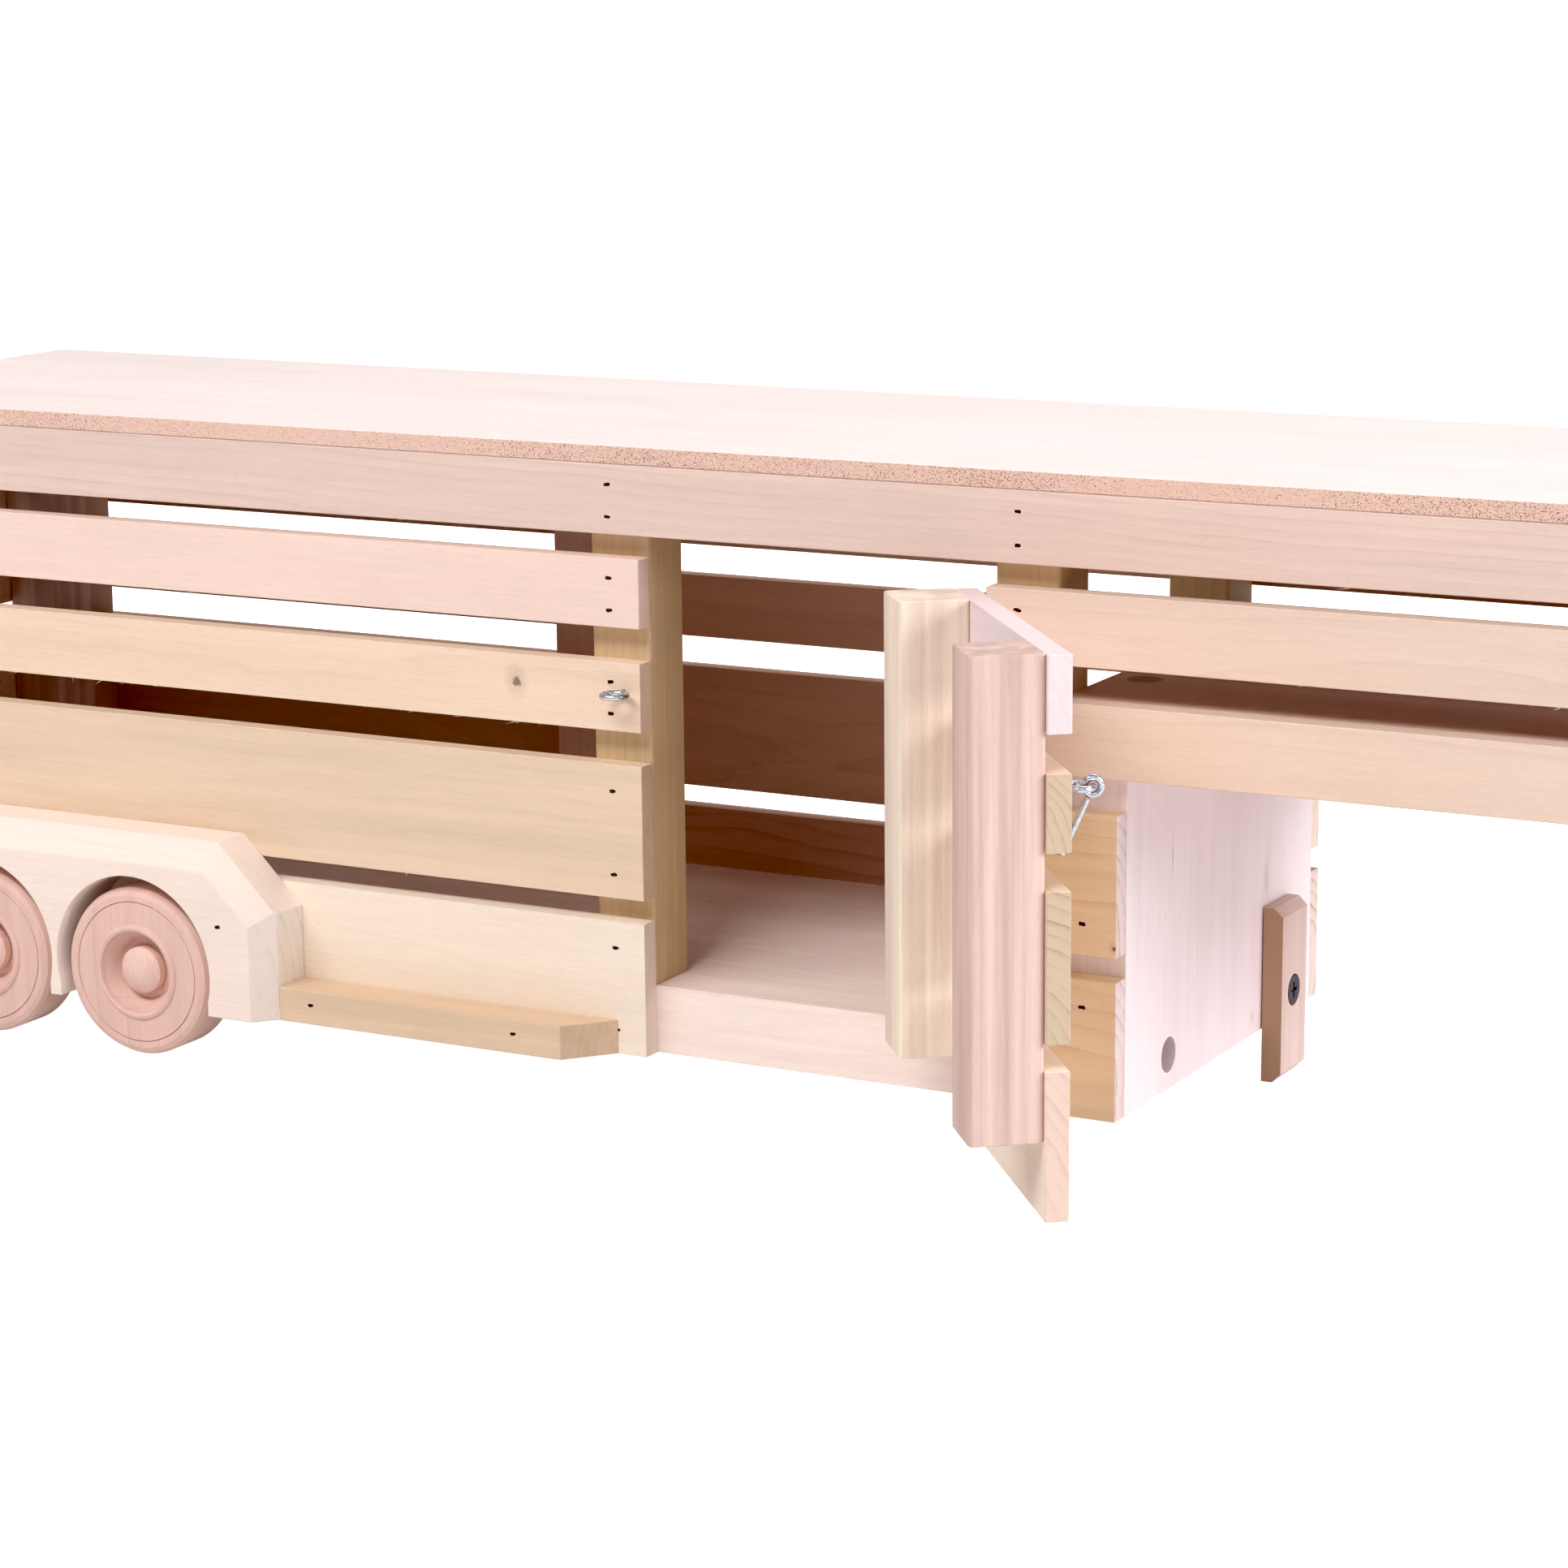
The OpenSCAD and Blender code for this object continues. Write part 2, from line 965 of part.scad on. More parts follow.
module stand_screw() {
    color(black)
        place()
            translate([leg_x + leg_t, leg_y, leg_z])
                screw(leg_t + 0.4 + board_t + 20, screw_head_r);
}

module bulkhead_screw() {
    color(black)
        place()
            translate([x_bulk - cbore_depth, cbore_y, cbore_z])
                screw(39, screw_head_r);
}

module deck_screws() {
    color(black)
        place()
            on_deck_screws()
                translate([-cbore_depth, 0, 0])
                    screw(deck_screw_len, screw_head_r);
}

module hitch_block() {
    color(poplar)
        place()
            difference() {
                board([neck_x - hitch_w / 2, (body_w - hitch_w) / 2, z_hitch],
                      [neck_x + hitch_w / 2, (body_w + hitch_w) / 2, z0 + slat_2_z]);
                translate([neck_x, body_w / 2, z_hitch - 1])
                    cylinder(h = tenon_len + 1, r = tenon_r);
            }
}

// The peg's lower end is chamfered, and its upper end is a thinner tenon in the block.
module hitch_peg() {
    chamfer = 1.5;
    color(poplar)
        place()
            translate([neck_x, body_w / 2, z_hitch - peg_len])
                union() {
                    cylinder(h = chamfer, r1 = peg_d / 2 - chamfer, r2 = peg_d / 2);
                    translate([0, 0, chamfer])
                        cylinder(h = peg_len - chamfer, r = peg_d / 2);
                    translate([0, 0, peg_len - eps])
                        cylinder(h = tenon_len + eps, r = tenon_r);
                }
}

floor_board();
bulkhead_board();
deck_board();
roof_sheet();
rear_header();
near_rail();
near_slat_top();
near_slat_middle();
near_slat_wide();
near_board_bottom();
nose_slat_top();
nose_slat_middle();
short_slat_wide();
short_board_bottom();
far_rail();
far_slat_top();
far_slat_middle();
far_slat_wide();
far_board_bottom();
post_near_rear();
post_door_rear();
post_door_front();
post_far_rear();
post_far_middle();
post_far_front();
posts_nose();
nose_rail();
nose_cross_slats();
fender_near();
fender_far();
running_boards();
axle_pegs();
wheel_near_front();
wheel_near_rear();
wheel_far_front();
wheel_far_rear();
door_batten_hinge();
door_batten_free();
door_slat_top();
door_slat_middle();
door_slat_wide();
door_board_bottom();
door_hinge_leaves();
door_eye();
door_hook_loop();
door_hook_arm();
gate_battens();
gate_slats();
gate_hinge_leaves();
gate_eye();
gate_hook_loop();
gate_hook_arm();
fixed_hinge_leaves();
wall_eyes();
stand_bar();
stand_screw();
bulkhead_screw();
deck_screws();
hitch_block();
hitch_peg();
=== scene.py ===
"""Looks of the toy stock trailer: bare wood, zinc wire, black screws, nails, floor, light, camera."""

import json
import math
import random

import bmesh
import bpy
from mathutils import Euler, Matrix, Vector


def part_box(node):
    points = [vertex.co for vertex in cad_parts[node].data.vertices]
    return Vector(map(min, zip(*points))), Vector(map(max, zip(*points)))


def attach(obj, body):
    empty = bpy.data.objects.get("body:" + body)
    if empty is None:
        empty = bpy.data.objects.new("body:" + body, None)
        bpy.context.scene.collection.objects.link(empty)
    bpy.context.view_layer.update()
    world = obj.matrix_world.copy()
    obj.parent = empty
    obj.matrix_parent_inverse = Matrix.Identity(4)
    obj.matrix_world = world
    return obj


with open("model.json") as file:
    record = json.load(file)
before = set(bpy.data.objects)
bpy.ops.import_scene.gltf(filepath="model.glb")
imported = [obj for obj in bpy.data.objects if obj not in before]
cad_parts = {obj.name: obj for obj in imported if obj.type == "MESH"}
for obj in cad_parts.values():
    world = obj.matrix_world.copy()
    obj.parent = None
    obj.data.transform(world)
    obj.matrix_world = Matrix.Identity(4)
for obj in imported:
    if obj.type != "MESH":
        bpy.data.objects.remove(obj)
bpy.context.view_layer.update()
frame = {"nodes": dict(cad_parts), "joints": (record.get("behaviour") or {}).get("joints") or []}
NODES = frame["nodes"]
MM = 0.001
SCENE = bpy.context.scene

# ---------------------------------------------------------------- places in the trailer's own terms
# ORIGIN is the doorway's rear edge, on the near wall's outer face, at the floor's underside.
ORIGIN = Vector(
    (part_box("post_door_rear")[1].x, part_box("near_rail")[0].y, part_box("floor_board")[0].z)
)


def at(x, y, z):
    """The point x forward, y inward and z up from ORIGIN, in millimetres."""
    return ORIGIN + Vector((x, y, z)) * MM


DOOR_AXIS = next(j for j in frame["joints"] if j["name"] == "side_door_hinge")
DOOR_OPEN = -DOOR_AXIS["range_deg"][0]
DOOR_PIVOT = Vector(DOOR_AXIS["pos_m"])
DOOR_TURN = Matrix.Rotation(math.radians(DOOR_OPEN), 3, "Z")

# ---------------------------------------------------------------- camera
CAM_YAW, CAM_PITCH, CAM_ROLL = (math.radians(a) for a in (28.35, -13.01, -0.55))
CAM_SPOT = at(559.05, -953.4, 315.1)
CAM_LENS, CAM_SENSOR = 93.16, 36
CAM_SHIFT = (0.0004, 0.0419)
forward = Vector(
    (
        -math.sin(CAM_YAW) * math.cos(CAM_PITCH),
        math.cos(CAM_YAW) * math.cos(CAM_PITCH),
        math.sin(CAM_PITCH),
    )
)
level = forward.cross(Vector((0, 0, 1))).normalized()
upright = level.cross(forward)
right = math.cos(CAM_ROLL) * level + math.sin(CAM_ROLL) * upright
upward = right.cross(forward)
camera = bpy.data.objects.new("camera", bpy.data.cameras.new("camera"))
SCENE.collection.objects.link(camera)
camera.matrix_world = Matrix.Translation(CAM_SPOT) @ Matrix(
    (right, upward, -forward)
).transposed().to_4x4()
camera.data.lens = CAM_LENS
camera.data.sensor_width = CAM_SENSOR
camera.data.shift_x, camera.data.shift_y = CAM_SHIFT
camera.data.clip_start = 0.02
camera.data.clip_end = 50
SCENE.camera = camera


# ---------------------------------------------------------------- shader helpers
def rgb(r, g, b):
    """A display colour of 0 to 255 as a linear colour."""
    values = []
    for c in (r, g, b):
        c /= 255
        values.append(c / 12.92 if c <= 0.04045 else ((c + 0.055) / 1.055) ** 2.4)
    return (*values, 1)


def put(tree, kind, inputs=None, **settings):
    """A new shader node with its settings, its inputs linked or set."""
    n = tree.nodes.new(kind)
    for key, value in settings.items():
        setattr(n, key, value)
    for key, value in (inputs or {}).items():
        if isinstance(value, bpy.types.NodeSocket):
            tree.links.new(value, n.inputs[key])
        else:
            n.inputs[key].default_value = value
    return n


def calc(tree, operation, *values, clamp=False):
    """The output of a Math node."""
    n = put(tree, "ShaderNodeMath", dict(enumerate(values)), operation=operation, use_clamp=clamp)
    return n.outputs[0]


def vec(tree, operation, *values):
    """The vector output of a Vector Math node."""
    n = put(tree, "ShaderNodeVectorMath", dict(enumerate(values)), operation=operation)
    return n.outputs["Value" if operation in ("LENGTH", "DOT_PRODUCT", "DISTANCE") else "Vector"]


def blotch(tree, where, scale, detail=2.0, rough=0.5):
    """Noise of about 0 to 1 at the point where times scale, a vector."""
    p = vec(tree, "MULTIPLY", where, scale)
    n = put(
        tree,
        "ShaderNodeTexNoise",
        {"Vector": p, "Scale": 1.0, "Detail": detail, "Roughness": rough},
        noise_dimensions="3D",
    )
    return n


def ramp(tree, value, low, high, out_low=0.0, out_high=1.0, smooth=True):
    """value from low..high to out_low..out_high, clamped."""
    n = put(
        tree,
        "ShaderNodeMapRange",
        {0: value, 1: low, 2: high, 3: out_low, 4: out_high},
        interpolation_type="SMOOTHSTEP" if smooth else "LINEAR",
        clamp=True,
    )
    return n.outputs[0]


def mix(tree, factor, a, b, mode="MIX"):
    """The colour output of a Mix node."""
    n = put(tree, "ShaderNodeMix", data_type="RGBA", blend_type=mode)
    for index, value in ((0, factor), (6, a), (7, b)):
        if isinstance(value, bpy.types.NodeSocket):
            tree.links.new(value, n.inputs[index])
        else:
            n.inputs[index].default_value = value
    return n.outputs[2]


# ---------------------------------------------------------------- wood
HALF = (0.5, 0.5, 0.5)  # the middle of a noise colour


def wood_group():
    """The pattern of one board, in millimetres with the grain along X and the tree's middle on X."""
    tree = bpy.data.node_groups.new("poplar_grain", "ShaderNodeTree")
    face = tree.interface
    for name, kind in (
        ("Place", "NodeSocketVector"),
        ("Facing", "NodeSocketVector"),
        ("Light", "NodeSocketColor"),
        ("Dark", "NodeSocketColor"),
        ("Stain", "NodeSocketColor"),
        ("Lines", "NodeSocketFloat"),
        ("Spacing", "NodeSocketFloat"),
        ("Staining", "NodeSocketFloat"),
        ("Wave", "NodeSocketFloat"),
    ):
        face.new_socket(name, in_out="INPUT", socket_type=kind)
    for name, kind in (
        ("Color", "NodeSocketColor"),
        ("Roughness", "NodeSocketFloat"),
        ("Height", "NodeSocketFloat"),
        ("Rings", "NodeSocketFloat"),
    ):
        face.new_socket(name, in_out="OUTPUT", socket_type=kind)
    given = tree.nodes.new("NodeGroupInput").outputs
    place = given["Place"]
    # growth rings round the tree's middle, bent by slow and quick waves
    slow = blotch(tree, place, (0.006, 0.02, 0.02), 1).outputs["Color"]
    quick = blotch(tree, place, (0.03, 0.11, 0.11), 2).outputs["Color"]
    slow = vec(tree, "MULTIPLY", vec(tree, "SUBTRACT", slow, HALF), (0, 16, 16))
    quick = vec(tree, "MULTIPLY", vec(tree, "SUBTRACT", quick, HALF), (0, 2.2, 2.2))
    bend = vec(tree, "ADD", slow, quick)
    wave = put(tree, "ShaderNodeVectorMath", {0: bend, 3: given["Wave"]}, operation="SCALE").outputs[0]
    bent = vec(tree, "MULTIPLY", vec(tree, "ADD", place, wave), (0, 1, 1))
    age = calc(tree, "DIVIDE", vec(tree, "LENGTH", bent), given["Spacing"])
    ring = calc(tree, "FLOOR", age)
    phase = calc(tree, "FRACT", age)
    year = put(tree, "ShaderNodeTexWhiteNoise", {"W": ring}, noise_dimensions="1D").outputs["Value"]
    late = calc(tree, "POWER", phase, 5.0)
    soft = calc(tree, "MULTIPLY", phase, 0.22)
    line = calc(tree, "MULTIPLY", calc(tree, "ADD", late, soft), ramp(tree, year, 0, 1, 0.25, 1.0))
    broken = blotch(tree, place, (0.02, 0.3, 0.3), 2).outputs["Fac"]
    line = calc(tree, "MULTIPLY", line, ramp(tree, broken, 0.3, 0.62, 0.35, 1.0))
    # sawn ends show the rings more and are a little darker
    along = vec(tree, "DOT_PRODUCT", given["Facing"], (1, 0, 0))
    end = ramp(tree, calc(tree, "ABSOLUTE", along), 0.55, 0.9)
    line = calc(tree, "MULTIPLY", line, ramp(tree, end, 0, 1, 1.0, 1.6))
    amount = calc(tree, "MULTIPLY", line, given["Lines"], clamp=True)
    colour = mix(tree, amount, given["Light"], given["Dark"])
    # wide soft bands of stain
    elsewhere = vec(tree, "ADD", place, (311, 17, 29))
    bands = blotch(tree, elsewhere, (0.004, 0.16, 0.16), 3, 0.6).outputs["Fac"]
    band = calc(tree, "MULTIPLY", ramp(tree, bands, 0.34, 0.68), given["Staining"])
    colour = mix(tree, band, colour, given["Stain"])
    # slow drift of the whole board's brightness
    drift = blotch(tree, place, (0.008, 0.05, 0.05), 2).outputs["Fac"]
    # fibres, and pores as short dark dashes
    fibre = blotch(tree, place, (0.1, 4.2, 4.2), 3, 0.65).outputs["Fac"]
    further = vec(tree, "ADD", place, (71, 0, 0))
    figure = blotch(tree, further, (0.035, 1.1, 1.1), 2, 0.6).outputs["Fac"]
    pores = ramp(tree, blotch(tree, place, (0.42, 7.5, 7.5), 1).outputs["Fac"], 0.6, 0.74)
    shade = calc(tree, "ADD", ramp(tree, fibre, 0.2, 0.8, -0.045, 0.045, False), 1.0)
    shade = calc(tree, "ADD", shade, ramp(tree, figure, 0.2, 0.8, -0.035, 0.035, False))
    shade = calc(tree, "ADD", shade, ramp(tree, drift, 0.25, 0.75, -0.04, 0.04, False))
    shade = calc(tree, "SUBTRACT", shade, calc(tree, "MULTIPLY", pores, 0.075))
    shade = calc(tree, "SUBTRACT", shade, calc(tree, "MULTIPLY", end, 0.05))
    grey = put(tree, "ShaderNodeCombineColor", {0: shade, 1: shade, 2: shade}).outputs[0]
    colour = mix(tree, 1.0, colour, grey, "MULTIPLY")
    rough = ramp(tree, fibre, 0.2, 0.8, 0.5, 0.7, False)
    height = calc(tree, "SUBTRACT", calc(tree, "MULTIPLY", fibre, 0.7), pores)
    height = calc(tree, "ADD", height, calc(tree, "MULTIPLY", amount, 0.4))
    out = tree.nodes.new("NodeGroupOutput")
    for name, socket in (("Color", colour), ("Roughness", rough), ("Height", height), ("Rings", amount)):
        tree.links.new(socket, out.inputs[name])
    return tree


GRAIN = wood_group()
ALONG = {
    "x": Euler((0, 0, 0)),
    "y": Euler((0, 0, math.radians(-90))),
    "z": Euler((0, math.radians(90), 0)),
    "door": Euler((0, 0, math.radians(180 - DOOR_OPEN))),
}
# A tone's light and dark wood and its stain, as display colours under the studio light
TONES = {
    "rail": ((227, 199, 187), (197, 164, 152), (210, 187, 174)),
    "rose": ((238, 210, 197), (222, 186, 170), (240, 206, 194)),
    "honey": ((239, 211, 188), (211, 177, 151), (233, 199, 172)),
    "tan": ((232, 205, 180), (204, 174, 148), (212, 188, 160)),
    "cream": ((247, 230, 213), (228, 203, 182), (246, 222, 200)),
    "floor": ((250, 230, 220), (228, 202, 192), (240, 214, 205)),
    "roof": ((242, 226, 222), (227, 207, 203), (237, 218, 214)),
    "fender": ((247, 227, 216), (234, 207, 196), (246, 224, 210)),
    "bulkhead": ((247, 234, 238), (232, 212, 216), (242, 223, 226)),
    "pearl": ((234, 213, 214), (216, 192, 194), (226, 203, 206)),
    "olive": ((216, 186, 150), (184, 152, 118), (194, 172, 130)),
    "olive_pale": ((226, 196, 160), (196, 162, 126), (206, 184, 142)),
    "amber": ((240, 213, 181), (210, 171, 135), (229, 197, 159)),
    "banded": ((247, 230, 210), (222, 196, 184), (212, 184, 172)),
    "streaky": ((224, 194, 182), (192, 160, 154), (178, 146, 140)),
    "door_tan": ((220, 194, 172), (192, 162, 138), (208, 186, 158)),
    "door_cream": ((240, 218, 200), (222, 194, 174), (236, 214, 192)),
    "nose": ((228, 202, 186), (204, 174, 156), (220, 194, 174)),
    "turned": ((231, 194, 182), (204, 162, 148), (218, 178, 166)),
    "peg": ((242, 206, 194), (214, 176, 162), (230, 192, 180)),
    "leg": ((216, 192, 186), (184, 156, 146), (196, 172, 162)),
    "step": ((230, 200, 173), (200, 165, 134), (210, 184, 152)),
    # the deck: the floor's wood made darker, partly painted shade for the deck under the nose slats
    "deck": ((224, 190, 174), (200, 164, 148), (212, 178, 162)),
    "brown_post": ((238, 204, 190), (212, 176, 160), (226, 192, 176)),
    "brown": ((212, 173, 152), (180, 142, 120), (198, 164, 144)),
    "brown_low": ((204, 160, 141), (154, 112, 93), (188, 147, 128)),
}
# Tones whose sawn ends are another shade than their faces; the fender's paler ends are painted light
END_GRAIN_AND_PAINTED_LIGHT_TONES = {
    "amber": (221, 202, 207),
    # the fender's pale end is painted light, where the open door keeps the side lamp off
    "fender": (250, 243, 235),
    "door_tan": (192, 170, 146),
    "door_cream": (216, 188, 174),
    "brown": (236, 218, 204),
    "brown_low": (230, 210, 202),
}
# The leg's sides across the trailer: painted shade, where the trailer's nose keeps the light off
PAINTED_SHADE_SIDE_TONES = {"leg": (178, 142, 112)}


# The roof sheet's edge: two reddish shades, the pits, and painted shade along its foot where it meets the
# rail
EDGE_TONES_AND_JOINT_SHADE = ((222, 184, 167), (231, 196, 181), (112, 66, 48), (112, 76, 62))
MARK_TONE = (92, 66, 56)
# A board's knots and stains: where in its box (0 to 1 along x, y and z), half sizes in mm, depth
MARKS = {
    "near_slat_middle": (((0.87, 0, 0.6), (2.0, 3, 2.6), 0.8),),
    "short_slat_wide": (((0.98, 0, 0.07), (0.8, 3, 0.9), 0.9),),
    "bulkhead_board": (
        ((1, 0.23, 0.7), (3, 0.3, 3.8), 0.6),
        ((1, 0.74, 0.48), (3, 2.5, 8), 0.22),
        ((1, 0.67, 0.06), (3, 0.8, 1.6), 0.3),
    ),
}


def marked(tree, spot, colour, low, high, marks):
    """The colour with a board's knots and stains."""
    for place, size, depth in marks:
        centre = Vector(a + (b - a) * t for a, b, t in zip(low, high, place))
        inverse = tuple(1 / (MM * r) for r in size)
        gap = vec(tree, "MULTIPLY", vec(tree, "SUBTRACT", spot, centre), inverse)
        ragged = blotch(tree, spot, (900, 900, 900), 3, 0.6).outputs["Color"]
        gap = vec(tree, "ADD", gap, vec(tree, "SUBTRACT", ragged, HALF))
        far = vec(tree, "LENGTH", gap)
        core = ramp(tree, far, 0.3, 1.0, depth, 0)
        halo = ramp(tree, far, 0.6, 2.6, depth * 0.22, 0)
        colour = mix(tree, calc(tree, "MAXIMUM", core, halo), colour, rgb(*MARK_TONE))
    return colour


def sawn_edge_with_joint_shade(tree, where, colour, low):
    """The colour with a thin sheet's sawn edge: reddish, pitted, and with painted shade along its foot."""
    spot = vec(tree, "SCALE", where.outputs["Object"])
    spot.node.inputs["Scale"].default_value = 1 / MM
    parts = put(tree, "ShaderNodeSeparateXYZ", {0: where.outputs["Normal"]}).outputs
    edge = ramp(tree, calc(tree, "ABSOLUTE", parts["Z"]), 0.4, 0.8, 1, 0)
    pits = blotch(tree, spot, (2.1, 2.1, 2.8), 2, 0.6).outputs["Fac"]
    crowd = blotch(tree, spot, (0.012, 0.012, 0.0), 2).outputs["Fac"]
    limit = ramp(tree, crowd, 0.3, 0.7, 0.64, 0.54, False)
    pit = ramp(tree, calc(tree, "SUBTRACT", pits, limit), 0, 0.05)
    streak = blotch(tree, spot, (0.25, 0.25, 3.4), 2).outputs["Fac"]
    core = mix(tree, ramp(tree, streak, 0.3, 0.7), rgb(*EDGE_TONES_AND_JOINT_SHADE[0]), rgb(*EDGE_TONES_AND_JOINT_SHADE[1]))
    core = mix(tree, calc(tree, "MULTIPLY", pit, 0.8), core, rgb(*EDGE_TONES_AND_JOINT_SHADE[2]))
    # painted shade along the edge's foot, in the gap where the roof meets the rail
    height = put(tree, "ShaderNodeSeparateXYZ", {0: where.outputs["Object"]}).outputs["Z"]
    foot = ramp(tree, height, low.z + 0.15 * MM, low.z + 0.4 * MM, 0.8, 0)
    core = mix(tree, foot, core, rgb(*EDGE_TONES_AND_JOINT_SHADE[3]))
    return mix(tree, edge, colour, core)


def wood(
    name, node, tone, grain, pith=(0, 60, 8), lines=0.5, spacing=3.0, stain=0.3, wave=1.0, tilt=0.0
):
    """A board's own wood: its grain runs along grain, with the tree's middle at pith from its own middle."""
    low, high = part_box(node)
    material = bpy.data.materials.new(name)
    material.use_nodes = True
    tree = material.node_tree
    tree.nodes.clear()
    turn = Euler((0, 0, math.radians(tilt))).to_matrix() @ ALONG[grain].to_matrix()
    seed = random.Random(name)
    shift = Vector((seed.uniform(-900, 900), pith[1], pith[2])) - turn @ ((low + high) / 2) / MM
    where = tree.nodes.new("ShaderNodeTexCoord")
    spot = put(
        tree,
        "ShaderNodeMapping",
        {
            "Vector": where.outputs["Object"],
            "Location": shift,
            "Rotation": turn.to_euler(),
            "Scale": (1 / MM,) * 3,
        },
        vector_type="POINT",
    ).outputs[0]
    facing = put(
        tree,
        "ShaderNodeMapping",
        {"Vector": where.outputs["Normal"], "Rotation": turn.to_euler()},
        vector_type="VECTOR",
    ).outputs[0]
    light, dark, stained = (rgb(*c) for c in TONES[tone])
    grained = put(tree, "ShaderNodeGroup", node_tree=GRAIN)
    for key, value in (
        ("Light", light),
        ("Dark", dark),
        ("Stain", stained),
        ("Lines", lines),
        ("Spacing", spacing),
        ("Staining", stain),
        ("Wave", wave),
    ):
        grained.inputs[key].default_value = value
    tree.links.new(spot, grained.inputs["Place"])
    tree.links.new(facing, grained.inputs["Facing"])
    bump = put(
        tree,
        "ShaderNodeBump",
        {"Strength": 0.5, "Distance": 0.05 * MM, "Height": grained.outputs["Height"]},
    )
    colour = grained.outputs["Color"]
    colour = marked(tree, where.outputs["Object"], colour, low, high, MARKS.get(node, ()))
    # sawn ends: end grain with stronger rings, and on the fender a painted light
    if tone in END_GRAIN_AND_PAINTED_LIGHT_TONES:
        end = calc(tree, "ABSOLUTE", vec(tree, "DOT_PRODUCT", facing, (1, 0, 0)))
        pale, deep = (rgb(*(c * depth for c in END_GRAIN_AND_PAINTED_LIGHT_TONES[tone])) for depth in (1.02, 0.74))
        ringed = mix(tree, grained.outputs["Rings"], pale, deep)
        colour = mix(tree, ramp(tree, end, 0.6, 0.9, 0, 0.9), colour, ringed)
    # painted shade on the leg's sides across the trailer, under the trailer's nose
    if tone in PAINTED_SHADE_SIDE_TONES:
        side = calc(tree, "ABSOLUTE", vec(tree, "DOT_PRODUCT", facing, (0, 1, 0)))
        colour = mix(tree, ramp(tree, side, 0.6, 0.9, 0, 0.85), colour, rgb(*PAINTED_SHADE_SIDE_TONES[tone]))
    if node == "roof_sheet":
        colour = sawn_edge_with_joint_shade(tree, where, colour, low)
    shader = put(
        tree,
        "ShaderNodeBsdfPrincipled",
        {
            "Base Color": colour,
            "Roughness": grained.outputs["Roughness"],
            "Normal": bump.outputs[0],
            "Specular IOR Level": 0.35,
        },
    )
    put(tree, "ShaderNodeOutputMaterial", {"Surface": shader.outputs[0]})
    return material


def metal(name, colour, rough, worn, scale):
    """Plated or blackened metal with small changes of shade and scratches."""
    material = bpy.data.materials.new(name)
    material.use_nodes = True
    tree = material.node_tree
    tree.nodes.clear()
    where = tree.nodes.new("ShaderNodeTexCoord").outputs["Object"]
    cloud = blotch(tree, where, (scale,) * 3, 4, 0.6).outputs["Fac"]
    scratch = blotch(tree, where, (scale * 0.6, scale * 9, scale * 2), 2).outputs["Fac"]
    tint = mix(tree, ramp(tree, cloud, 0.35, 0.65), rgb(*colour), rgb(*worn))
    roughness = ramp(tree, scratch, 0.3, 0.7, rough * 0.75, rough * 1.35, False)
    bump = put(tree, "ShaderNodeBump", {"Strength": 0.25, "Distance": 0.02 * MM, "Height": scratch})
    shader = put(
        tree,
        "ShaderNodeBsdfPrincipled",
        {"Base Color": tint, "Roughness": roughness, "Metallic": 1.0, "Normal": bump.outputs[0]},
    )
    put(tree, "ShaderNodeOutputMaterial", {"Surface": shader.outputs[0]})
    return material


